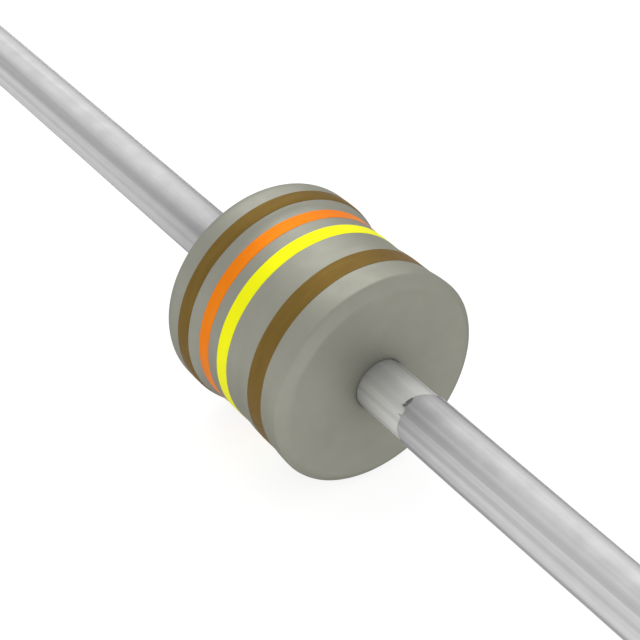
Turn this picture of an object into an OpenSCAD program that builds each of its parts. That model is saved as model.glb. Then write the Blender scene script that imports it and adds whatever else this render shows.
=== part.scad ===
// Axial film resistor with four colour bands, lying along X.
// The origin is the middle of the body, on the axis of the leads. Lengths are in millimetres.

/* [Ceramic core] */
// Diameter of the ceramic rod
core_d = 1.8; // [1.2:0.05:3]
// Length of the ceramic rod
core_len = 1.6; // [1.4:0.05:8]
// Radius of the rod's tumbled edges
core_edge_r = 0.06; // [0.02:0.01:0.1]

/* [Resistive film] */
// Thickness of the film on the rod
film_t = 0.02; // [0.01:0.005:0.04]
// Turns of the spiral groove that trims the film to its value
groove_turns = 4; // [2:0.5:5]
// Width of the spiral groove
groove_w = 0.06; // [0.03:0.01:0.09]
// Plain film between a cap's mouth and the nearest end of the groove
groove_margin = 0.07; // [0.03:0.01:0.15]

/* [End caps] */
// Wall of the pressed cap
cap_wall = 0.12; // [0.08:0.01:0.16]
// Thickness of the cap's closed end
cap_floor = 0.14; // [0.1:0.01:0.2]
// Length of the cap outside
cap_len = 0.45; // [0.35:0.01:0.55]
// Outer corner radius of the cap
cap_corner_r = 0.1; // [0.05:0.01:0.14]
// Chamfer inside the cap's mouth, which leads the rod in
cap_lead_in = 0.03; // [0.01:0.005:0.05]
// Radial clearance between the film and the cap
cap_fit = 0.005; // [0.002:0.001:0.01]

/* [Lead wires] */
// Diameter of the wire
wire_d = 0.57; // [0.4:0.01:0.7]
// Free length of each lead, from the body's end face to its cut end
lead_len = 11.9; // [5:0.1:30]
// Fillet of the weld between wire and cap
weld_fillet_r = 0.09; // [0.04:0.01:0.11]
// Radius of the weld's rounded rim on the cap
weld_rim_r = 0.03; // [0.01:0.005:0.04]

/* [Tin coat] */
// Thickness of the dipped tin on the wire
tin_t = 0.015; // [0.01:0.001:0.03]
// Bare wire between the body's end face and the tongues of the tin
bare_len = 0.61; // [0.3:0.01:2]
// How far the edge of the tin runs back between its two tongues
tin_wave = 0.11; // [0.05:0.01:0.2]
// Angle of the front tongue round the lead, from the top
tongue_angle = -37; // [-90:1:90]
// Small bites in the front tongue's edge
nick_count = 3; // [1:1:5]
// Radius of one bite
nick_r = 0.032; // [0.02:0.002:0.05]
// Angle from one bite to the next
nick_step = 9; // [6:1:14]

/* [Lacquer body] */
// Lacquer over the rear cap's wall
bulb_coat = 0.205; // [0.15:0.005:0.3]
// Lacquer over the caps' closed ends
end_coat = 0.16; // [0.13:0.01:0.3]
// Depth of the waist below the rear bulb
waist_depth = 0.064; // [0.03:0.002:0.1]
// Rise from the waist to the shoulder that carries the tolerance band
shoulder_rise = 0.016; // [0.01:0.002:0.04]
// Rise from the shoulder to the front bulb
front_bulb_rise = 0.024; // [0.01:0.002:0.05]
// Length of the rear bulb, up to its blend
rear_bulb_len = 0.44; // [0.3:0.01:0.5]
// Length of the front bulb, up to its blend
front_bulb_len = 0.21; // [0.18:0.01:0.3]
// Length of the shoulder between its two blends
shoulder_len = 0.34; // [0.28:0.01:0.36]
// Radius of the two arcs that blend the rear bulb into the waist
rear_blend_r = 0.3; // [0.15:0.01:0.4]
// Radius of the two arcs that blend the waist into the shoulder
shoulder_blend_r = 0.7; // [0.2:0.01:0.9]
// Radius of the two arcs that blend the shoulder into the front bulb
front_blend_r = 0.2; // [0.08:0.01:0.3]
// Rounding of the rear end
rear_edge_r = 0.21; // [0.08:0.01:0.25]
// Rounding of the front end
front_edge_r = 0.135; // [0.08:0.005:0.17]

/* [Colour bands] */
// Thickness of the printed paint
band_t = 0.015; // [0.01:0.001:0.03]
// Rear end face to the first band
first_band_from_rear = 0.361; // [0.26:0.001:0.38]
// Width of the first digit's band
first_band_w = 0.17; // [0.12:0.01:0.22]
// Bare lacquer between the first and second bands
first_gap = 0.142; // [0.08:0.002:0.16]
// Width of the second digit's band
second_band_w = 0.168; // [0.12:0.001:0.22]
// Bare lacquer between the second and third bands
second_gap = 0.163; // [0.08:0.001:0.18]
// Width of the multiplier's band
multiplier_band_w = 0.178; // [0.12:0.002:0.24]
// Front end face to the tolerance band
tolerance_from_front = 0.382; // [0.34:0.002:0.42]
// Width of the tolerance band
tolerance_band_w = 0.232; // [0.16:0.002:0.28]

/* [Hidden] */

$fn = 128;

// Radii from the inside out
core_r = core_d / 2;
film_r = core_r + film_t;
cap_bore_r = film_r + cap_fit;
cap_r = cap_bore_r + cap_wall;
wire_r = wire_d / 2;
tin_r = wire_r + tin_t;
rear_bulb_r = cap_r + bulb_coat;
waist_r = rear_bulb_r - waist_depth;
shoulder_r = waist_r + shoulder_rise;
front_bulb_r = shoulder_r + front_bulb_rise;

// Places along the axis, from the middle out
core_end = core_len / 2;
cap_end = core_end + cap_floor;
cap_mouth = cap_end - cap_len;
body_end = cap_end + end_coat;
lead_end = body_end + lead_len;

// Length of a smooth step between two radii, by two equal arcs
function step_run(rise, arc_r) = sqrt(rise * (4 * arc_r - rise));

// Where the bulbs and the shoulder of the lacquer end
rear_bulb_stop = -body_end + rear_bulb_len;
front_bulb_start = body_end - front_bulb_len;
shoulder_start = front_bulb_start - step_run(front_bulb_rise, front_blend_r) - shoulder_len;

// Where the bands start
first_band_x = -body_end + first_band_from_rear;
second_band_x = first_band_x + first_band_w + first_gap;
multiplier_band_x = second_band_x + second_band_w + second_gap;
tolerance_band_x = body_end - tolerance_from_front - tolerance_band_w;

// The spiral groove, as flat steps round the rod
groove_steps_per_turn = 36;
groove_steps = round(groove_turns * groove_steps_per_turn);
groove_reach = cap_mouth - groove_margin - groove_w / 2;
groove_overcut = 0.03;

// How far outlines that are joined run into each other
run_on = 0.02;

// The round end of the tin's saddle-shaped edge, from the depth of its wave
wave_r = (tin_r * tin_r + tin_wave * tin_wave) / (2 * tin_wave);

ceramic_white = [0.93, 0.92, 0.88];
film_grey = [0.24, 0.23, 0.25];
steel = [0.72, 0.73, 0.74];
bare_wire = [0.78, 0.78, 0.77];
bright_tin = [0.86, 0.86, 0.87];
lacquer_grey = [0.66, 0.66, 0.61];
brown = [0.46, 0.36, 0.17];
orange = [0.95, 0.52, 0.14];
yellow = [0.98, 0.95, 0.16];

// A solid turned about the lead's axis from an outline of radius by place along the axis
module turned() {
  rotate([0, 90, 0])
    rotate_extrude()
      children();
}

// A stretch of outline of one radius
module stretch(from_x, to_x, r) {
  translate([0, from_x])
    square([r, to_x - from_x]);
}

// Outline of a bar with one rounded rim, between the flat end at end_x and inner_x
module rounded_end(inner_x, end_x, r, edge_r) {
  side = sign(end_x - inner_x);
  rim_x = end_x - side * edge_r;
  stretch(min(inner_x, rim_x), max(inner_x, rim_x), r);
  stretch(min(inner_x, end_x), max(inner_x, end_x), r - edge_r);
  translate([r - edge_r, rim_x])
    circle(r = edge_r);
}

// Outline of a smooth step down from a high stretch that ends at high_x, by two equal arcs that
// meet halfway. Grown outward, its round arc widens and its hollow arc tightens.
module smooth_step(high_x, high_r, low_r, arc_r, side, grow) {
  rise = high_r - low_r;
  low_x = high_x + side * step_run(rise, arc_r);
  share = (arc_r - grow) / (2 * arc_r);
  meet_x = low_x + (high_x - low_x) * share;
  meet_r = low_r + grow + rise * share;
  over_x = high_x - side * run_on;
  intersection() {
    stretch(min(low_x, over_x), max(low_x, over_x), high_r + grow);
    translate([high_r - arc_r, high_x])
      circle(r = arc_r + grow);
  }
  difference() {
    stretch(min(low_x, meet_x), max(low_x, meet_x), meet_r);
    translate([low_r + arc_r, low_x])
      circle(r = arc_r - grow);
  }
}

// Outline of the lacquered body, or of a skin that lies on it
module body_outline(grow = 0) {
  stretch(rear_bulb_stop, front_bulb_start, waist_r + grow);
  stretch(shoulder_start, front_bulb_start, shoulder_r + grow);
  rounded_end(rear_bulb_stop, -body_end, rear_bulb_r + grow, rear_edge_r + grow);
  rounded_end(front_bulb_start, body_end, front_bulb_r + grow, front_edge_r + grow);
  smooth_step(rear_bulb_stop, rear_bulb_r, waist_r, rear_blend_r, 1, grow);
  smooth_step(shoulder_start, shoulder_r, waist_r, shoulder_blend_r, -1, grow);
  smooth_step(front_bulb_start, front_bulb_r, shoulder_r, front_blend_r, -1, grow);
}

// Outside of the front cap
module cap_outline() {
  rounded_end(cap_mouth, cap_end, cap_r, cap_corner_r);
}

// Outline of the front wire with its weld, a fillet that runs out into a rounded rim on the cap
module wire_outline() {
  fillet_x = cap_end + weld_rim_r + weld_fillet_r;
  fillet_r = wire_r + weld_fillet_r;
  stretch(cap_end, lead_end, wire_r);
  difference() {
    stretch(cap_end, fillet_x, fillet_r);
    translate([fillet_r, fillet_x])
      circle(r = weld_fillet_r);
  }
  intersection() {
    stretch(cap_end, fillet_x, fillet_r + weld_rim_r);
    translate([fillet_r, cap_end])
      circle(r = weld_rim_r);
  }
}

// A piece of the front half, seen in the rear half
module rear() {
  mirror([1, 0, 0])
    children();
}

module ceramic_core() {
  color(ceramic_white)
    turned() {
      rounded_end(0, core_end, core_r, core_edge_r);
      rounded_end(0, -core_end, core_r, core_edge_r);
    }
}

// Corner of the groove's section at one step: radius r, half a width to one side
function groove_point(i, r, side) =
  let (
    turn = 360 * i / groove_steps_per_turn,
    x = -groove_reach + 2 * groove_reach * i / groove_steps + side * groove_w / 2
  )
  [x, r * cos(turn), r * sin(turn)];

// The spiral that the trimming beam burns away, a little deeper and higher than the film
module trim_groove() {
  inner_r = core_r - groove_overcut;
  outer_r = film_r + groove_overcut;
  points = [
    for (i = [0 : groove_steps])
      for (corner = [[inner_r, -1], [inner_r, 1], [outer_r, 1], [outer_r, -1]])
        groove_point(i, corner[0], corner[1])
  ];
  walls = [
    for (i = [0 : groove_steps - 1], k = [0 : 3])
      let (a = 4 * i + k, b = 4 * i + (k + 1) % 4)
      each [[a, b + 4, b], [a, a + 4, b + 4]]
  ];
  last = 4 * groove_steps;
  ends = [[0, 1, 2, 3], [last + 3, last + 2, last + 1, last]];
  polyhedron(points = points, faces = concat(walls, ends));
}

module resistive_film() {
  film_end = core_end - core_edge_r;
  color(film_grey)
    difference() {
      turned()
        difference() {
          stretch(-film_end, film_end, film_r);
          stretch(-film_end, film_end, core_r);
        }
      trim_groove();
    }
}

module end_cap() {
  color(steel)
    turned()
      difference() {
        cap_outline();
        rounded_end(cap_mouth, core_end, cap_bore_r, core_edge_r);
        polygon([
          [0, cap_mouth], [cap_bore_r + cap_lead_in, cap_mouth],
          [cap_bore_r, cap_mouth + cap_lead_in], [0, cap_mouth + cap_lead_in]
        ]);
      }
}

module rear_cap() {
  rear() end_cap();
}

module front_cap() {
  end_cap();
}

module lead_wire() {
  color(bare_wire)
    turned()
      wire_outline();
}

module rear_lead() {
  rear() lead_wire();
}

module front_lead() {
  lead_wire();
}

// A round cutter across the lead at one place along it, at an angle from the top
module radial_cutter(x, angle, r, from_r, to_r) {
  translate([x, 0, 0])
    rotate([-angle, 0, 0])
      translate([0, 0, from_r])
        cylinder(h = to_r - from_r, r = r);
}

// Dipped tin on the front wire, with its wavy, nicked edge near the body
module tin_coat() {
  tongue_x = body_end + bare_len;
  color(bright_tin)
    difference() {
      turned()
        difference() {
          stretch(tongue_x - nick_r, lead_end, tin_r);
          stretch(tongue_x - nick_r, lead_end, wire_r);
        }
      radial_cutter(tongue_x + tin_wave - wave_r, tongue_angle + 90, wave_r, -2 * tin_r, 2 * tin_r);
      for (i = [0 : nick_count - 1])
        radial_cutter(
          tongue_x, tongue_angle + (i - (nick_count - 1) / 2) * nick_step, nick_r, 0, 2 * tin_r
        );
    }
}

module rear_tin_coat() {
  rear() tin_coat();
}

module front_tin_coat() {
  tin_coat();
}

// Lacquer shell, filled right up to the caps, the film and the welded wires
module lacquer_coating() {
  color(lacquer_grey)
    turned()
      difference() {
        body_outline();
        stretch(-core_end, core_end, film_r);
        for (side = [0, 1])
          mirror([0, side]) {
            cap_outline();
            wire_outline();
          }
      }
}

// One printed ring of paint on the lacquer
module band(from_x, width, paint) {
  color(paint)
    turned()
      intersection() {
        difference() {
          body_outline(band_t);
          body_outline();
        }
        stretch(from_x, from_x + width, 2 * rear_bulb_r);
      }
}

module first_digit_band() {
  band(first_band_x, first_band_w, brown);
}

module second_digit_band() {
  band(second_band_x, second_band_w, orange);
}

module multiplier_band() {
  band(multiplier_band_x, multiplier_band_w, yellow);
}

module tolerance_band() {
  band(tolerance_band_x, tolerance_band_w, brown);
}

ceramic_core();
resistive_film();
rear_cap();
front_cap();
rear_lead();
front_lead();
rear_tin_coat();
front_tin_coat();
lacquer_coating();
first_digit_band();
second_digit_band();
multiplier_band();
tolerance_band();
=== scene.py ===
import math

import bpy
import numpy as np
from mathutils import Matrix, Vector


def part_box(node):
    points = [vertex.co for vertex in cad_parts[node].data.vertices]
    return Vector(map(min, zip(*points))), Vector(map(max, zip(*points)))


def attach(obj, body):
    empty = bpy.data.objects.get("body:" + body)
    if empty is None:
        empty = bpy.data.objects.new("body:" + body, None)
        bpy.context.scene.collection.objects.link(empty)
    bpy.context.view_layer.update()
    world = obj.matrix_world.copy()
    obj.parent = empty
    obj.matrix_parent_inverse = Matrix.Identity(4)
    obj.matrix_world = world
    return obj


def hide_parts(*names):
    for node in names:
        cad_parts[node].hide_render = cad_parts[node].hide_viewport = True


# Axial film resistor with four colour bands, lying along X
# Angles round the lead are counted from the top towards +Y
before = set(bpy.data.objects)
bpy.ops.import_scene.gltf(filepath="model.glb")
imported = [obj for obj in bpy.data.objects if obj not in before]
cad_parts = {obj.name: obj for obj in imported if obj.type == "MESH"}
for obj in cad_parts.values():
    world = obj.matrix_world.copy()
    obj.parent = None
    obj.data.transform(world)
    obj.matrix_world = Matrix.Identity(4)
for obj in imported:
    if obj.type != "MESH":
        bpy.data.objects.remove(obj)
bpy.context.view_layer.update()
mm = 0.001
root = "root"
print("frame loaded:", len(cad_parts), "nodes")


# Shared mesh helpers; outlines are lists of (x, r) in millimetres

def arc(cx, cr, radius, fromDeg, toDeg, step):
    # points on an arc, its angle counted from the x direction towards the r direction
    turn = math.radians(toDeg - fromDeg)
    count = max(2, math.ceil(abs(turn) * radius / step))
    angles = [math.radians(fromDeg) + turn * i / count for i in range(count + 1)]
    return [(cx + radius * math.cos(a), cr + radius * math.sin(a)) for a in angles]


def refine(points, step):
    # the same outline with no stretch longer than step
    fine = [points[0]]
    for (x0, r0), (x1, r1) in zip(points, points[1:]):
        length = math.hypot(x1 - x0, r1 - r0)
        if length < 1e-9:
            continue
        count = max(1, math.ceil(length / step))
        fine += [(x0 + (x1 - x0) * i / count, r0 + (r1 - r0) * i / count) for i in range(1, count + 1)]
    return fine


def evenAngles(count):
    return np.linspace(-math.pi, math.pi, count, endpoint=False)


def turnRound(outline, angles):
    # x and r of an outline, as arrays with a row for each point and a column for each angle
    x, r = np.array(outline).T[:, :, None] + 0 * angles
    return x, r


def roundAbout(x, r, angles):
    # the same arrays to points in metres
    return np.stack([x, r * np.sin(angles), r * np.cos(angles)], axis=-1) * mm


def makePiece(name, grid, material, nodes, closed=True):
    # the grid's columns join round, and its rows too if closed, or else each end gets a fan
    rows, columns = grid.shape[:2]
    vertices = grid.reshape(-1, 3).tolist()
    faces = []
    for i in range(rows if closed else rows - 1):
        a, b = i * columns, (i + 1) % rows * columns
        for j in range(columns):
            k = (j + 1) % columns
            faces.append((b + j, b + k, a + k, a + j))
    if not closed:
        for row, direction in ((0, 1), (rows - 1, -1)):
            hub = len(vertices)
            vertices.append(grid[row].mean(axis=0).tolist())
            rim = list(range(row * columns, (row + 1) * columns))[::direction]
            faces += [(rim[j - 1], rim[j], hub) for j in range(columns)]
    mesh = bpy.data.meshes.new(name)
    mesh.from_pydata(vertices, [], faces)
    mesh.validate()
    mesh.update()
    mesh.shade_smooth()
    mesh.materials.append(material)
    piece = bpy.data.objects.new(name, mesh)
    bpy.context.scene.collection.objects.link(piece)
    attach(piece, root)
    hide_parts(*nodes)


# Shared material helpers; a noise field is given as (waves in a millimetre, detail, stretch),
# and a roughness as (waves in a millimetre, lowest, highest)
noiseLow, noiseHigh = 0.3, 0.7  # most of a noise field lies between these


def linear(colour):
    # a colour as seen on screen, 0 to 255, to the light values that shaders use
    shares = [c / 255 for c in colour]
    return [s / 12.92 if s <= 0.04045 else ((s + 0.055) / 1.055) ** 2.4 for s in shares] + [1.0]


def newMaterial(name, **constants):
    material = bpy.data.materials.new(name)
    material.use_nodes = True
    shader = material.node_tree.nodes["Principled BSDF"]
    for socket, value in constants.items():
        shader.inputs[socket.replace("_", " ")].default_value = value
    return material, material.node_tree, shader


def calculate(tree, operation, *values):
    # one Math node, its values constants or links
    node = tree.nodes.new("ShaderNodeMath")
    node.operation = operation
    for socket, value in zip(node.inputs, values):
        if isinstance(value, (int, float)):
            socket.default_value = value
        else:
            tree.links.new(value, socket)
    return node.outputs[0]


def axes(tree):
    # x, y and z of the shaded point, in metres
    place = tree.nodes.new("ShaderNodeTexCoord")
    split = tree.nodes.new("ShaderNodeSeparateXYZ")
    tree.links.new(place.outputs["Object"], split.inputs[0])
    return split.outputs["X"], split.outputs["Y"], split.outputs["Z"]


def noiseField(tree, perMm, detail=3.0, stretch=(1, 1, 1)):
    # smooth noise fixed to the piece: perMm waves in a millimetre, times the stretch of each axis
    place = tree.nodes.new("ShaderNodeTexCoord")
    scale = tree.nodes.new("ShaderNodeMapping")
    scale.inputs["Scale"].default_value = [s * perMm / mm for s in stretch]
    noise = tree.nodes.new("ShaderNodeTexNoise")
    noise.inputs["Scale"].default_value = 1.0
    noise.inputs["Detail"].default_value = detail
    tree.links.new(place.outputs["Object"], scale.inputs["Vector"])
    tree.links.new(scale.outputs["Vector"], noise.inputs["Vector"])
    return noise.outputs["Fac"]


def between(tree, value, low, high, fromValue=noiseLow, toValue=noiseHigh):
    # value from fromValue to toValue becomes a number from low to high
    node = tree.nodes.new("ShaderNodeMapRange")
    limits = {"From Min": fromValue, "From Max": toValue, "To Min": low, "To Max": high}
    for socket, limit in limits.items():
        node.inputs[socket].default_value = limit
    tree.links.new(value, node.inputs[0])
    return node.outputs[0]


def mottled(tree, noise, low, high):
    # noise becomes a colour from low to high
    node = tree.nodes.new("ShaderNodeValToRGB")
    for stop, place, colour in zip(node.color_ramp.elements, (noiseLow, noiseHigh), (low, high)):
        stop.position = place
        stop.color = linear(colour)
    tree.links.new(noise, node.inputs[0])
    return node.outputs[0]


def shade(tree, colour, *levels):
    # colour times each of the levels
    for level in levels:
        node = tree.nodes.new("ShaderNodeVectorMath")
        node.operation = "SCALE"
        tree.links.new(colour, node.inputs[0])
        tree.links.new(level, node.inputs["Scale"])
        colour = node.outputs[0]
    return colour


def awayFrom(tree, start, reach, share, axis):
    # a painted shade factor: 1 - share at start, rising to 1 over a few reaches (mm),
    # by distance from the lead's axis if axis is across, or along it from the middle of the resistor
    place = tree.nodes.new("ShaderNodeTexCoord")
    flat = tree.nodes.new("ShaderNodeVectorMath")
    flat.operation = "MULTIPLY"
    flat.inputs[1].default_value = (1, 0, 0) if axis == "along" else (0, 1, 1)
    size = tree.nodes.new("ShaderNodeVectorMath")
    size.operation = "LENGTH"
    tree.links.new(place.outputs["Object"], flat.inputs[0])
    tree.links.new(flat.outputs[0], size.inputs[0])
    power = calculate(tree, "MULTIPLY_ADD", size.outputs["Value"], -1 / (reach * mm), start / reach)
    return calculate(tree, "MULTIPLY_ADD", calculate(tree, "EXPONENT", power), -share, 1.0)


def roughen(tree, shader, waves, low, high):
    tree.links.new(between(tree, noiseField(tree, waves), low, high), shader.inputs["Roughness"])


def bump(tree, shader, heights):
    # heights is a list of (value, height in mm), each laid over the one before
    normal = None
    for value, height in heights:
        node = tree.nodes.new("ShaderNodeBump")
        node.inputs["Distance"].default_value = height * mm
        tree.links.new(value, node.inputs["Height"])
        if normal:
            tree.links.new(normal, node.inputs["Normal"])
        normal = node.outputs["Normal"]
    tree.links.new(normal, shader.inputs["Normal"])


# Lacquer body: a bulb over each cap, a waist and flat ends with rounded rims
lacquer = {
    "rearBulbRadius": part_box("lacquer_coating")[1].z / mm,
    "rearEnd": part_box("lacquer_coating")[0].x / mm,
    "frontEnd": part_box("lacquer_coating")[1].x / mm,
    "waistDepth": 0.064,
    "shoulderRise": 0.016,
    "frontBulbRise": 0.021,
    "rearBulbLength": 0.44,  # with its rim
    "frontBulbLength": 0.13,
    "shoulderLength": 0.239,
    "rearBlend": 0.3,
    "shoulderBlend": 0.7,
    "frontBlend": 1.06,
    "rearRim": 0.235,
    "frontRim": [
        # its arcs: radius, and the angle that each ends at, from 90 degrees at the side to 0 at the face
        (0.05, 45),
        (0.42, 34),
        (0.11, 0),
    ],
    "holeRim": 0.012,  # the soft lip where a wire leaves the lacquer
    "relief": 0.0006,  # height of the faint orange peel
    "colours": ((157, 157, 146), (164, 164, 153)),
    "mottleWaves": 1.3,
    "paintedRootShade": 0.26,  # painted shade: how much darker the end faces are where they meet the wires
    "paintedRootReach": 0.3,
    "paintedContactShade": 0.22,  # and a darker line of painted shade right against them
    "paintedContactReach": 0.03,
    "metallic": 0.68,
    "specularLevel": 0.15,
    "specularTint": (100, 100, 100),
    "roughness": (6.0, 0.52, 0.58),
    "bumps": [(9.0, 0.0012), (40.0, 0.0003)],  # waves in a millimetre, height
    "columns": 288,
    "step": 0.022,
    "insideStep": 0.1,
}
# What the lacquer lies round, with the sizes of the solids
wireRadius = 0.285
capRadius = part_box("front_cap")[1].z / mm
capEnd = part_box("front_cap")[1].x / mm
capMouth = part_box("front_cap")[0].x / mm
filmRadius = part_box("resistive_film")[1].z / mm
capCorner = 0.1
weldFillet = 0.09
weldRim = 0.03


def stepPoints(highX, highRadius, lowRadius, blend, side, lift, step):
    # a smooth step by two equal arcs, from the high stretch's end at highX towards side
    rise = highRadius - lowRadius
    run = math.sqrt(rise * (4 * blend - rise))
    angle = math.degrees(math.asin(run / (2 * blend)))
    outer = arc(highX, highRadius - blend, blend + lift, 90, 90 - side * angle, step)
    inner = arc(highX + side * run, lowRadius + blend, blend - lift, 270 - side * angle, 270, step)
    return outer + inner[1:]


def frontRimPoints(topRadius, lift, step):
    # the front rim's arcs, each tangent to the one before, from the side to the face
    x, r, radius, angle = 0.0, topRadius, 0.0, 90
    points = []
    for nextRadius, nextAngle in lacquer["frontRim"]:
        x += (radius - nextRadius) * math.cos(math.radians(angle))
        r += (radius - nextRadius) * math.sin(math.radians(angle))
        points += arc(x, r, nextRadius + lift, angle, nextAngle, step)[1 if points else 0:]
        radius, angle = nextRadius, nextAngle
    shift = lacquer["frontEnd"] - x - radius
    return [(px + shift, pr) for px, pr in points]


def bodyOutline(lift=0.0):
    # the outside, from the rear end's hole to the front end's hole, or a skin that lies lift above it
    s = lacquer
    rearR = s["rearBulbRadius"]
    waistR = rearR - s["waistDepth"]
    shoulderR = waistR + s["shoulderRise"]
    frontR = shoulderR + s["frontBulbRise"]
    frontX = s["frontEnd"] - s["frontBulbLength"]
    frontRun = math.sqrt(s["frontBulbRise"] * (4 * s["frontBlend"] - s["frontBulbRise"]))
    shoulderX = frontX - frontRun - s["shoulderLength"]
    step = s["step"] / 2
    rearRim = arc(s["rearEnd"] + s["rearRim"], rearR - s["rearRim"], s["rearRim"] + lift, 180, 90, step)
    down = stepPoints(s["rearEnd"] + s["rearBulbLength"], rearR, waistR, s["rearBlend"], 1, lift, step)
    up = stepPoints(shoulderX, shoulderR, waistR, s["shoulderBlend"], -1, lift, step)
    swell = stepPoints(frontX, frontR, shoulderR, s["frontBlend"], -1, lift, step)
    return rearRim + down + up[::-1] + swell[::-1] + frontRimPoints(frontR, lift, step)


def cavityOutline():
    # the inside, front to rear: bore round the wire, weld, cap, film, and the same again
    filletX = capEnd + weldRim + weldFillet
    half = [(filletX, wireRadius)]
    half += arc(filletX, wireRadius + weldFillet, weldFillet, 270, 180, step=0.03)[1:]
    half += arc(capEnd, wireRadius + weldFillet, weldRim, 0, 90, step=0.02)
    half += arc(capEnd - capCorner, capRadius - capCorner, capCorner, 0, 90, step=0.03)
    half += [(capMouth, capRadius), (capMouth, filmRadius)]
    return half + [(-x, r) for x, r in reversed(half)]


def lacquerMaterial():
    s = lacquer
    material, tree, shader = newMaterial(
        "greyLacquer",
        Metallic=s["metallic"],
        Specular_IOR_Level=s["specularLevel"],
        Specular_Tint=linear(s["specularTint"]),
    )
    mottle = mottled(tree, noiseField(tree, s["mottleWaves"]), *s["colours"])
    # painted shade on the end faces round each wire
    paintedRootTone = awayFrom(tree, wireRadius, s["paintedRootReach"], s["paintedRootShade"], "across")
    # a narrow line of painted shade right against each wire
    paintedContactTone = awayFrom(tree, wireRadius, s["paintedContactReach"], s["paintedContactShade"], "across")
    tree.links.new(shade(tree, mottle, paintedRootTone, paintedContactTone), shader.inputs["Base Color"])
    roughen(tree, shader, *s["roughness"])
    bump(tree, shader, [(noiseField(tree, waves, detail=2.0), height) for waves, height in s["bumps"]])
    return material


def buildBody():
    s = lacquer
    lip = s["holeRim"]
    outside = arc(s["rearEnd"] + lip, wireRadius + lip, lip, 270, 180, step=lip / 4)
    outside += bodyOutline()
    outside += arc(s["frontEnd"] - lip, wireRadius + lip, lip, 0, -90, step=lip / 4)
    outside = refine(outside, s["step"])
    loop = outside + refine(cavityOutline(), s["insideStep"])
    angles = evenAngles(s["columns"])
    x, r = turnRound(loop, angles)
    peel = np.sin(7 * angles + 9 * x) * np.sin(5 * angles - 14 * x + 1.3)
    peel += 0.6 * np.sin(13 * angles - 21 * x + 0.7)
    shown = np.arange(len(loop))[:, None] < len(outside)
    r = r + np.where(shown & (r > wireRadius + 2 * lip), s["relief"] * peel, 0)
    makePiece("lacquerBody", roundAbout(x, r, angles), lacquerMaterial(), ["lacquer_coating"])


buildBody()
print("lacquer body built")

# Printed bands: thin rings of paint that follow the lacquer
bands = {
    "paintLift": 0.003,  # how far the paint stands above the lacquer
    "paintSink": 0.003,  # how far its underside reaches into it
    "softEdge": 0.003,
    "edgeWobble": 0.0015,
    "slantAngle": -127.0,  # where a leaning ring lies furthest forward
    "rings": [
        # piece, CAD node, paint, how far the paint ran out at the rear and at the front edge, lean
        ("firstDigitBand", "first_digit_band", "brownPaint", 0.006, 0.0, 0.0),
        ("secondDigitBand", "second_digit_band", "orangePaint", 0.0, 0.0, 0.0),
        ("multiplierBand", "multiplier_band", "yellowPaint", 0.0, 0.0, 0.0),
        ("toleranceBand", "tolerance_band", "brownPaint", 0.005, 0.004, 0.018),
    ],
    "paints": {
        # slot, darker and lighter tone
        "brownPaint": ("brown_paint", (120, 96, 46), (127, 102, 50)),
        "orangePaint": ("orange_paint", (244, 132, 24), (250, 140, 30)),
        "yellowPaint": ("yellow_paint", (254, 253, 24), (255, 255, 32)),
    },
    "metallic": 0.35,
    "specularLevel": 0.1,
    "specularTint": (100, 100, 100),
    "roughness": (8.0, 0.46, 0.54),
    "wheelStreaks": (3.0, 4.0, (5, 1, 1)),
    "streakBump": 0.0003,
    "grain": (30.0, 2.0),
    "grainBump": 0.0002,
    "columns": 288,
    "step": 0.012,
}


def paintMaterial(name, low, high):
    s = bands
    material, tree, shader = newMaterial(
        name,
        Metallic=s["metallic"],
        Specular_IOR_Level=s["specularLevel"],
        Specular_Tint=linear(s["specularTint"]),
    )
    wheelStreaks = noiseField(tree, *s["wheelStreaks"])
    tree.links.new(mottled(tree, wheelStreaks, low, high), shader.inputs["Base Color"])
    roughen(tree, shader, *s["roughness"])
    bump(tree, shader, [(wheelStreaks, s["streakBump"]), (noiseField(tree, *s["grain"]), s["grainBump"])])
    return material


def outlineBetween(outline, fromX, toX):
    # the stretch of an outline from fromX to toX
    xs, rs = zip(*outline)
    places = [fromX] + [x for x in xs if fromX < x < toX] + [toX]
    return [(x, float(np.interp(x, xs, rs))) for x in places]


def buildBand(piece, node, paint, rearSpread, frontSpread, lean):
    s = bands
    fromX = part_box(node)[0].x / mm - rearSpread
    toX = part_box(node)[1].x / mm + frontSpread
    edge = s["softEdge"]
    crown = refine(outlineBetween(bodyOutline(s["paintLift"]), fromX + edge, toX - edge), s["step"])
    drop = s["paintLift"] + s["paintSink"]
    chamfer = edge * (1 - math.sqrt(0.5))
    rearR, frontR = crown[0][1], crown[-1][1]
    rearEdge = [(fromX, rearR - drop), (fromX, rearR - edge), (fromX + chamfer, rearR - chamfer)]
    frontEdge = [(toX - chamfer, frontR - chamfer), (toX, frontR - edge), (toX, frontR - drop)]
    underside = [(x, r - drop) for x, r in reversed(crown)]
    angles = evenAngles(s["columns"])
    x, r = turnRound(rearEdge + crown + frontEdge + underside, angles)
    share = (x - fromX) / (toX - fromX)
    rearWobble = np.sin(9 * angles + 40 * fromX) * np.sin(4 * angles + 1)
    frontWobble = np.sin(11 * angles + 25 * toX) * np.sin(5 * angles + 2)
    x = x + s["edgeWobble"] * ((1 - share) ** 4 * rearWobble + share ** 4 * frontWobble)
    x = x + lean * np.cos(angles - math.radians(s["slantAngle"]))
    slotName, low, high = s["paints"][paint]
    material = bpy.data.materials.get(paint) or paintMaterial(paint, low, high)
    makePiece(piece, roundAbout(x, r, angles), material, [node])


for ring in bands["rings"]:
    buildBand(*ring)
print("bands built:", len(bands["rings"]))

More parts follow.
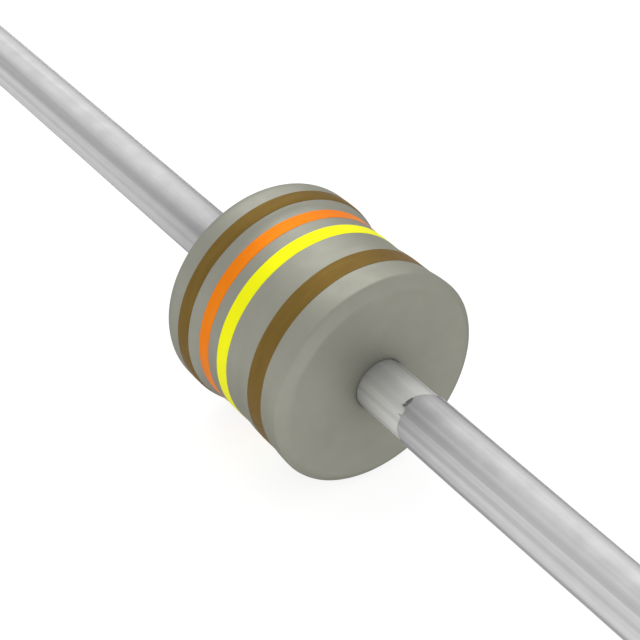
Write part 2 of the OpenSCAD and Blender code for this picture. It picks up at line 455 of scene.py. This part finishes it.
# Lead wires: drawn wire, welded to the caps, with the fine lines that the die left along it
wire = {
    "cutEdge": 0.02,  # rounding at the sheared end
    "cutDepth": (0.012, 0.002),  # where the plating gives way to copper, from the end
    "flatAngle": -60.5,  # a narrow flat along the wire
    "flatWidth": 14.0,
    "lines": [
        # angle, half-width in degrees, depth
        (-73.5, 1.2, 0.0012),
        (71.0, 2.0, 0.002),
        (130.0, 1.5, 0.003),
        (-148.0, 2.0, 0.0025),
    ],
    "twist": 1.0,  # degrees that the lines and tones turn in a millimetre
    "frontDieStreaksAndPaintedLight": [
        # angle at the middle of the resistor, tone of the metal there: the streaks of the die, and painted
        # reflections, highlights and shade round the lead
        (-118, 1.0), (-113, 0.78), (-104, 0.95), (-98, 1.12), (-78, 1.17), (-73.5, 1.0), (-71, 1.0),
        (-67, 1.1), (-65, 1.24), (-54, 1.2), (-52, 0.95), (-38, 0.97), (-34.5, 1.04), (-32, 1.0),
        (-29, 0.92), (-20, 0.88), (-9, 0.93), (-3, 1.04), (4, 1.02), (23, 0.94), (31, 0.72), (34, 0.52),
        (36.5, 0.64), (38.5, 0.92), (43, 1.22), (52, 1.2), (108, 1.0), (110, 0.9), (119, 1.05),
    ],
    "rearDieStreaksAndPaintedLight": [
        (-118, 1.0), (-98, 1.2), (-80, 1.18), (-73, 1.06), (-70, 1.06), (-66, 1.14), (-56, 1.17),
        (-51, 0.98), (-45, 0.87), (-40, 0.89), (-30, 0.93), (-20, 1.02), (-13, 1.02), (-3, 0.91),
        (15, 0.97), (22, 0.9), (33, 0.83), (36, 0.74), (39.5, 0.56), (42, 0.7), (44.5, 0.94), (47, 1.12),
        (52, 1.2), (131, 1.0), (133, 0.88), (141, 1.04),
    ],
    "highestTone": 1.25,  # no tone above may be higher
    "toneShare": 0.5,  # how much of the tones the bare wire shows; the tin shows them in full
    "colours": ((223, 223, 220), (233, 233, 231)),
    "paintedRootShade": 0.36,  # painted shade: how much darker it is where it leaves the lacquer
    "paintedRootReach": 0.3,
    "copper": (196, 128, 92),
    "metallic": 0.8,
    "specularTint": (100, 100, 100),
    "roughness": (5.0, 0.64, 0.74),
    "dieStreaks": (16.0, 4.0, (0.012, 1, 1)),  # fine lines along the lead: noise drawn out
    "streakBump": 0.0012,
    "slowWaves": (4.0, 3.0),
    "slowBump": 0.002,
    "columns": 360,
    "shankRings": 60,
}
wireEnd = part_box("front_lead")[1].x / mm
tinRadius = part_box("front_tin_coat")[1].z / mm


def drawnRadius(radius, angles, x):
    # radius of a drawn wire at each angle and x, with its flat and its lines
    angles = np.degrees(angles) - wire["twist"] * x
    away = (angles - wire["flatAngle"] + 180) % 360 - 180
    half = wire["flatWidth"] / 2
    chord = math.cos(math.radians(half)) / np.cos(np.radians(np.clip(away, -half, half)))
    drawn = radius * np.where(abs(away) < half, chord, 1.0)
    for angle, width, depth in wire["lines"]:
        away = (angles - angle + 180) % 360 - 180
        drawn = drawn - depth * np.exp(-(away / width) ** 2)
    return drawn


def angleRound(tree):
    # x in metres, and the angle round the lead in turns, 0 to 1 from the bottom, untwisted
    x, y, z = axes(tree)
    turns = calculate(tree, "MULTIPLY_ADD", calculate(tree, "ARCTAN2", y, z), 0.5 / math.pi, 0.5)
    return x, calculate(tree, "FRACT", calculate(tree, "MULTIPLY_ADD", x, -wire["twist"] / 360 / mm, turns))


def dieStreaksAndPaintedLight(tree, share=1.0):
    # the die's streaks with painted reflections, highlights and shade round the lead, at the front and at
    # the rear
    x, turns = angleRound(tree)
    highest = wire["highestTone"]
    levels = []
    for points in (wire["rearDieStreaksAndPaintedLight"], wire["frontDieStreaksAndPaintedLight"]):
        tones = tree.nodes.new("ShaderNodeValToRGB")
        stops = tones.color_ramp.elements
        stops.remove(stops[1])
        for i, (angle, tone) in enumerate([(-180, 1.0), *points, (180, 1.0)]):
            stop = stops[0] if i == 0 else stops.new(angle / 360 + 0.5)
            stop.color = [(1 + share * (tone - 1)) / highest] * 3 + [1]
        tree.links.new(turns, tones.inputs[0])
        levels.append(calculate(tree, "MULTIPLY", tones.outputs[0], highest))
    step = calculate(tree, "SUBTRACT", levels[1], levels[0])
    return calculate(tree, "MULTIPLY_ADD", calculate(tree, "GREATER_THAN", x, 0.0), step, levels[0])


def copperEnds(tree, plating):
    # plating, and copper at the two cut ends
    farX = calculate(tree, "ABSOLUTE", axes(tree)[0])
    fromX, toX = ((wireEnd - depth) * mm for depth in wire["cutDepth"])
    mix = tree.nodes.new("ShaderNodeMix")
    mix.data_type = "RGBA"
    # a Mix node's two colours are its inputs 6 and 7, and the mixed colour is its output 2
    tree.links.new(between(tree, farX, 0.0, 1.0, fromX, toX), mix.inputs[0])
    tree.links.new(plating, mix.inputs[6])
    mix.inputs[7].default_value = linear(wire["copper"])
    return mix.outputs[2]


def wireMaterial():
    s = wire
    material, tree, shader = newMaterial(
        "bareWire", Metallic=s["metallic"], Specular_Tint=linear(s["specularTint"])
    )
    lines = noiseField(tree, *s["dieStreaks"])
    # painted shade where the wire leaves the lacquer
    paintedRootTone = awayFrom(tree, lacquer["frontEnd"], s["paintedRootReach"], s["paintedRootShade"], "along")
    # the die's streaks, with painted reflections, highlights and shade round the lead
    streaksAndPaintedLight = dieStreaksAndPaintedLight(tree, s["toneShare"])
    plating = shade(tree, mottled(tree, lines, *s["colours"]), paintedRootTone, streaksAndPaintedLight)
    tree.links.new(copperEnds(tree, plating), shader.inputs["Base Color"])
    roughen(tree, shader, *s["roughness"])
    bump(tree, shader, [(lines, s["streakBump"]), (noiseField(tree, *s["slowWaves"]), s["slowBump"])])
    return material


def buildWire(piece, node, side, material):
    # weld, shank and cut end of the front wire, mirrored for the rear one
    edge = wire["cutEdge"]
    shank = capEnd + weldRim + weldFillet
    count = wire["shankRings"]
    outline = arc(capEnd, wireRadius + weldFillet, weldRim, 90, 0, step=0.01)
    outline += arc(shank, wireRadius + weldFillet, weldFillet, 180, 270, step=0.012)[1:]
    outline += [(shank + (wireEnd - edge - shank) * i / count, wireRadius) for i in range(1, count + 1)]
    outline += arc(wireEnd - edge, wireRadius - edge, edge, 90, 0, step=0.006)[1:]
    outline += [(wireEnd, (wireRadius - edge) * share) for share in (0.75, 0.5, 0.25)]
    angles = evenAngles(wire["columns"])
    x, r = turnRound(outline, angles)
    r = r * (drawnRadius(wireRadius, angles, side * x) / wireRadius)
    if side < 0:
        x, r = -x[::-1], r[::-1]
    makePiece(piece, roundAbout(x, r, angles), material, [node], closed=False)


bareWire = wireMaterial()
buildWire("frontLead", "front_lead", 1, bareWire)
buildWire("rearLead", "rear_lead", -1, bareWire)
print("leads built")

# Tin coat: a dipped skin on each wire, with a wavy, nicked edge near the body
tin = {
    "bareLength": 0.61,  # bare wire between the body's end and the tongues of the tin
    "wave": 0.11,  # how far the edge runs back between its two tongues
    "tongueAngle": -37.0,
    "bite": [
        # angle, how far the nicked stretch of the edge runs back there, or juts out in a flake
        (-84, 0.0), (-68, 0.034), (-59, 0.046), (-57.8, 0.002), (-57, 0.004), (-56, 0.048), (-47, 0.062),
        (-40.8, 0.05), (-40.2, -0.002), (-38.8, -0.018), (-36, -0.006), (-34.4, 0.0), (-33.4, 0.03),
        (-32.2, 0.0),
    ],
    "burrAngle": -27.0,  # the burr beside the nicks: a thicker edge with a long slope
    "burrWidth": 9.0,
    "burr": 0.006,
    "burrLip": 0.03,
    "burrSlope": 0.12,
    "lip": 0.014,  # length of the rounded lip elsewhere
    "ripple": 0.0012,  # slow waves in the thickness, at their full height from rippleStart on
    "rippleStart": 0.1,
    "colours": ((206, 205, 206), (219, 218, 219)),
    "paintedRootShade": 0.27,  # painted shade: how much darker the tin is near the body
    "paintedRootReach": 1.0,
    "burrShadeAngle": -27.5,  # a dark lens of painted shade at the front edge, on the burr
    "burrShadeHalfAngle": 12.0,
    "burrShadeAlong": 0.64,  # from the body's end
    "burrShadeHalfLength": 0.031,
    "burrShadeTone": 0.5,
    "burrShadeFade": (0.8, 1.15),  # where it fades out: its middle's distance in half-sizes, squared
    "specularTint": (5, 5, 6),
    "roughness": (4.0, 0.63, 0.71),
    "streakBump": 0.001,
    "slowWaves": (3.0, 3.0, (0.5, 1, 1)),
    "slowBump": 0.005,
    "columns": 240,
    "nickedColumns": 150,  # more of them between these two angles
    "nickedFrom": -72.0,
    "nickedTo": -12.0,
    "lipRings": 8,
    "firstStep": 0.008,  # between the rings behind the lip, growing to the longest
    "longestStep": 0.12,
    "straightAfter": 0.6,  # from here the rings no longer follow the edge
    "ringedLength": 10.5,  # from there one long step leads to the wire's end
    "endTaper": 0.004,  # how much thinner the coat is at that end
    "innerRings": 22,  # on the side that lies on the wire
}


def tinAngles():
    even = np.degrees(evenAngles(tin["columns"]))
    even = even[(even < tin["nickedFrom"]) | (even > tin["nickedTo"])]
    dense = np.linspace(tin["nickedFrom"], tin["nickedTo"], tin["nickedColumns"])
    return np.radians(np.sort(np.concatenate([even, dense])))


def tinEdge(angles):
    # where the edge lies at each angle, as a distance from the body's end
    angles = np.degrees(angles)
    edge = tin["bareLength"] + tin["wave"] * np.sin(np.radians(angles - tin["tongueAngle"])) ** 2
    return edge + np.interp(angles, *zip(*tin["bite"]), left=0.0, right=0.0)


def paintedBurrShade(tree):
    # painted shade on the burr: its tone inside its lens and 1 outside
    s = tin
    x, turns = angleRound(tree)
    centre = lacquer["frontEnd"] + s["burrShadeAlong"]
    angle = s["burrShadeAngle"] - wire["twist"] * centre
    halfLength, halfAngle = s["burrShadeHalfLength"], s["burrShadeHalfAngle"]
    along = calculate(tree, "MULTIPLY_ADD", x, 1 / (halfLength * mm), -centre / halfLength)
    across = calculate(tree, "MULTIPLY_ADD", turns, 360 / halfAngle, -(angle + 180) / halfAngle)
    size = calculate(tree, "MULTIPLY_ADD", along, along, calculate(tree, "MULTIPLY", across, across))
    return between(tree, size, s["burrShadeTone"], 1.0, *s["burrShadeFade"])


def tinMaterial():
    s = tin
    material, tree, shader = newMaterial("brightTin", Metallic=1.0, Specular_Tint=linear(s["specularTint"]))
    lines = noiseField(tree, *wire["dieStreaks"])
    edgeX = lacquer["frontEnd"] + s["bareLength"]
    # painted shade near the body
    paintedRootTone = awayFrom(tree, edgeX, s["paintedRootReach"], s["paintedRootShade"], "along")
    # the die's streaks with painted reflections, highlights and shade round the lead, and painted shade on
    # the burr
    metal = shade(tree, mottled(tree, lines, *s["colours"]), paintedRootTone, dieStreaksAndPaintedLight(tree), paintedBurrShade(tree))
    tree.links.new(metal, shader.inputs["Base Color"])
    roughen(tree, shader, *s["roughness"])
    bump(tree, shader, [(lines, s["streakBump"]), (noiseField(tree, *s["slowWaves"]), s["slowBump"])])
    return material


def buildTin(piece, node, side, material):
    s = tin
    bodyEnd = lacquer["frontEnd"]
    angles = tinAngles()
    edge = bodyEnd + tinEdge(angles)
    burr = np.exp(-((np.degrees(angles) - s["burrAngle"]) / s["burrWidth"]) ** 4)
    lip = s["lip"] + (s["burrLip"] - s["lip"]) * burr
    # the outer rings: first the lip's quarter circle, then longer and longer steps
    lipShare = np.arange(s["lipRings"] + 1) / s["lipRings"]
    steps = [0.0]
    while steps[-1] < s["ringedLength"]:
        steps.append(steps[-1] + min(s["longestStep"], s["firstStep"] + s["longestStep"] * steps[-1]))
    along = np.vstack([lipShare[:, None] * lip, np.array(steps[1:])[:, None] + lip])
    straight = np.clip(along / s["straightAfter"], 0, 1) ** 1.5
    middle = bodyEnd + s["bareLength"] + s["wave"] / 2
    x = edge * (1 - straight) + middle * straight + along
    # their thickness: the coat's, more on the burr, and slow waves
    coat = tinRadius - wireRadius
    height = np.concatenate([np.sqrt(1 - (1 - lipShare) ** 2), np.ones(len(steps) - 1)])[:, None]
    thick = height * (coat + s["burr"] * burr * np.exp(-along / s["burrSlope"]))
    wave = np.sin(angles + 1.7 * x) * np.sin(2 * angles - 2.9 * x + 0.8)
    wave = wave + 0.5 * np.sin(3 * angles + 4.3 * x + 2.0)
    thick = thick + s["ripple"] * wave * np.clip(along / s["rippleStart"], 0, 1)
    # the wire's end, and the inner rings back along the wire to the edge
    endThick = np.vstack([thick[-1:] - s["endTaper"], 0 * thick[-1:]])
    inward = np.linspace(1, 0, s["innerRings"] + 2)[1:-1, None]
    innerX = edge + (wireEnd - wire["cutEdge"] - edge) * inward
    x = np.vstack([x, np.full((2, len(angles)), wireEnd), innerX])
    r = drawnRadius(wireRadius, angles, side * x) + np.vstack([thick, endThick, 0 * innerX])
    if side < 0:
        x, r = -x[::-1], r[::-1]
    makePiece(piece, roundAbout(x, r, angles), material, [node])


brightTin = tinMaterial()
buildTin("frontTinCoat", "front_tin_coat", 1, brightTin)
buildTin("rearTinCoat", "rear_tin_coat", -1, brightTin)
print("tin coats built")

# Hidden pieces: the ceramic rod, the trimmed film and the pressed caps keep their solids
inner = {
    "finishes": {
        # node: slot, material, darker and lighter tone, metallic share, roughness
        "ceramic_core": ("ceramic", "whiteCeramic", (232, 230, 220), (242, 240, 232), 0.0, 0.6),
        "resistive_film": ("film", "darkFilm", (58, 56, 60), (72, 70, 76), 0.4, 0.35),
        "rear_cap": ("cap_steel", "capSteel", (178, 180, 182), (196, 198, 200), 1.0, 0.32),
        "front_cap": ("cap_steel", "capSteel", (178, 180, 182), (196, 198, 200), 1.0, 0.32),
    },
    "roughnessSpread": 0.05,
    "grain": (6.0, 3.0),
    "fineGrain": (25.0, 3.0),
    "grainBump": 0.0006,
}


def dressInner(node, slotName, name, low, high, metallic, roughness):
    s = inner
    material = bpy.data.materials.get(name)
    if not material:
        material, tree, shader = newMaterial(name, Metallic=metallic)
        grain = noiseField(tree, *s["grain"])
        spread = s["roughnessSpread"]
        rough = between(tree, grain, roughness - spread, roughness + spread)
        tree.links.new(mottled(tree, grain, low, high), shader.inputs["Base Color"])
        tree.links.new(rough, shader.inputs["Roughness"])
        bump(tree, shader, [(noiseField(tree, *s["fineGrain"]), s["grainBump"])])
    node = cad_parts[node]
    node.data.materials.clear()
    node.data.materials.append(material)


for node, finish in inner["finishes"].items():
    dressInner(node, *finish)
print("inner pieces dressed:", len(inner["finishes"]))

# Studio: pale floor, even light all round and one large soft lamp high behind the body
studio = {
    "floorZ": -lacquer["rearBulbRadius"] - 0.002,
    "floorHalfSize": 900.0,
    "floorColour": (244, 244, 242),
    "floorGlow": 0.82,
    "floorShadowShare": 0.3,
    "ambient": 0.65,
    "fillDirection": (0.75, -0.66, 0.05),  # where the even light is a little stronger
    "fillRise": 0.33,
    "fillFrom": -0.2,  # cosine of the angle at which it starts to rise
    "ceilingDirection": (-0.3, -0.3, 0.9),  # where the white that metal mirrors is dimmest
    "ceilingDip": 0.42,
    "ceilingFrom": 0.1,
    "lampDirection": (-0.65, 0.31, 0.695),
    "lampDistance": 300.0,
    "lampDiameter": 300.0,
    "lampLevel": 0.46,  # what the lamp alone adds to a white surface that faces it
}


def seenDirectly(tree):
    # 1 for camera, glossy and transmission rays
    path = tree.nodes.new("ShaderNodeLightPath")
    seen = calculate(tree, "MAXIMUM", path.outputs["Is Camera Ray"], path.outputs["Is Glossy Ray"])
    return calculate(tree, "MAXIMUM", seen, path.outputs["Is Transmission Ray"])


def buildFloor():
    # it lights the part as a pale floor does, and is seen as white with a faint shadow
    s = studio
    half = s["floorHalfSize"] * mm
    corners = [(-half, -half), (half, -half), (half, half), (-half, half)]
    mesh = bpy.data.meshes.new("floor")
    mesh.from_pydata([(x, y, s["floorZ"] * mm) for x, y in corners], [], [(0, 1, 2, 3)])
    floor = bpy.data.objects.new("floor", mesh)
    bpy.context.scene.collection.objects.link(floor)
    material, tree, shader = newMaterial("paleFloor", Roughness=0.9)
    shader.inputs["Base Color"].default_value = linear(s["floorColour"])
    faint = tree.nodes.new("ShaderNodeBsdfDiffuse")
    faint.inputs["Color"].default_value = [s["floorShadowShare"]] * 3 + [1]
    glow = tree.nodes.new("ShaderNodeEmission")
    glow.inputs["Strength"].default_value = s["floorGlow"]
    seen = tree.nodes.new("ShaderNodeAddShader")
    choose = tree.nodes.new("ShaderNodeMixShader")
    tree.links.new(faint.outputs[0], seen.inputs[0])
    tree.links.new(glow.outputs[0], seen.inputs[1])
    tree.links.new(seenDirectly(tree), choose.inputs[0])
    tree.links.new(shader.outputs[0], choose.inputs[1])
    tree.links.new(seen.outputs[0], choose.inputs[2])
    tree.links.new(choose.outputs[0], tree.nodes["Material Output"].inputs["Surface"])
    mesh.materials.append(material)


def skyGlow(tree, direction, low, high, fromCosine):
    # a white background, of strength low away from direction and high towards it
    place = tree.nodes.new("ShaderNodeTexCoord")
    along = tree.nodes.new("ShaderNodeVectorMath")
    along.operation = "DOT_PRODUCT"
    along.inputs[1].default_value = Vector(direction).normalized()
    tree.links.new(place.outputs["Generated"], along.inputs[0])
    background = tree.nodes.new("ShaderNodeBackground")
    background.inputs["Color"].default_value = (1, 1, 1, 1)
    strength = between(tree, along.outputs["Value"], low, high, fromCosine, 1.0)
    tree.links.new(strength, background.inputs["Strength"])
    return background.outputs[0]


def buildWorld():
    s = studio
    world = bpy.data.worlds.new("studio")
    bpy.context.scene.world = world
    world.use_nodes = True
    tree = world.node_tree
    light = skyGlow(tree, s["fillDirection"], s["ambient"], s["ambient"] + s["fillRise"], s["fillFrom"])
    seen = skyGlow(tree, s["ceilingDirection"], 1.0, 1.0 - s["ceilingDip"], s["ceilingFrom"])
    choose = tree.nodes.new("ShaderNodeMixShader")
    tree.links.new(seenDirectly(tree), choose.inputs[0])
    tree.links.new(light, choose.inputs[1])
    tree.links.new(seen, choose.inputs[2])
    tree.links.new(choose.outputs[0], tree.nodes["World Output"].inputs["Surface"])


def buildLamp():
    s = studio
    direction = Vector(s["lampDirection"]).normalized()
    data = bpy.data.lights.new("softLamp", "AREA")
    data.shape = "DISK"
    data.size = s["lampDiameter"] * mm
    data.energy = s["lampLevel"] * (math.pi * s["lampDistance"] * mm) ** 2
    lamp = bpy.data.objects.new("softLamp", data)
    lamp.location = direction * s["lampDistance"] * mm
    lamp.rotation_mode = "QUATERNION"
    lamp.rotation_quaternion = direction.to_track_quat("Z", "Y")
    bpy.context.scene.collection.objects.link(lamp)


buildFloor()
buildWorld()
buildLamp()
print("studio built")

# Camera at the photograph's angle, from the front right and above
camera = {
    "azimuth": 54.81,
    "elevation": 37.3,
    "distance": 19.073,
    "aim": (-0.032, 0.059, 0.079),
    "lens": 102.3,
    "sensor": 36.0,
}


def buildCamera():
    s = camera
    azimuth, elevation = math.radians(s["azimuth"]), math.radians(s["elevation"])
    flat = math.cos(elevation)
    back = Vector((math.sin(azimuth) * flat, -math.cos(azimuth) * flat, math.sin(elevation)))
    data = bpy.data.cameras.new("camera")
    data.lens = s["lens"]
    data.sensor_width = s["sensor"]
    data.clip_start = 1 * mm
    data.clip_end = 5.0
    eye = bpy.data.objects.new("camera", data)
    eye.location = (Vector(s["aim"]) + back * s["distance"]) * mm
    eye.rotation_mode = "QUATERNION"
    eye.rotation_quaternion = (-back).to_track_quat("-Z", "Y")
    bpy.context.scene.collection.objects.link(eye)
    bpy.context.scene.camera = eye


buildCamera()
bpy.context.scene.view_settings.view_transform = "Standard"
print("camera placed")
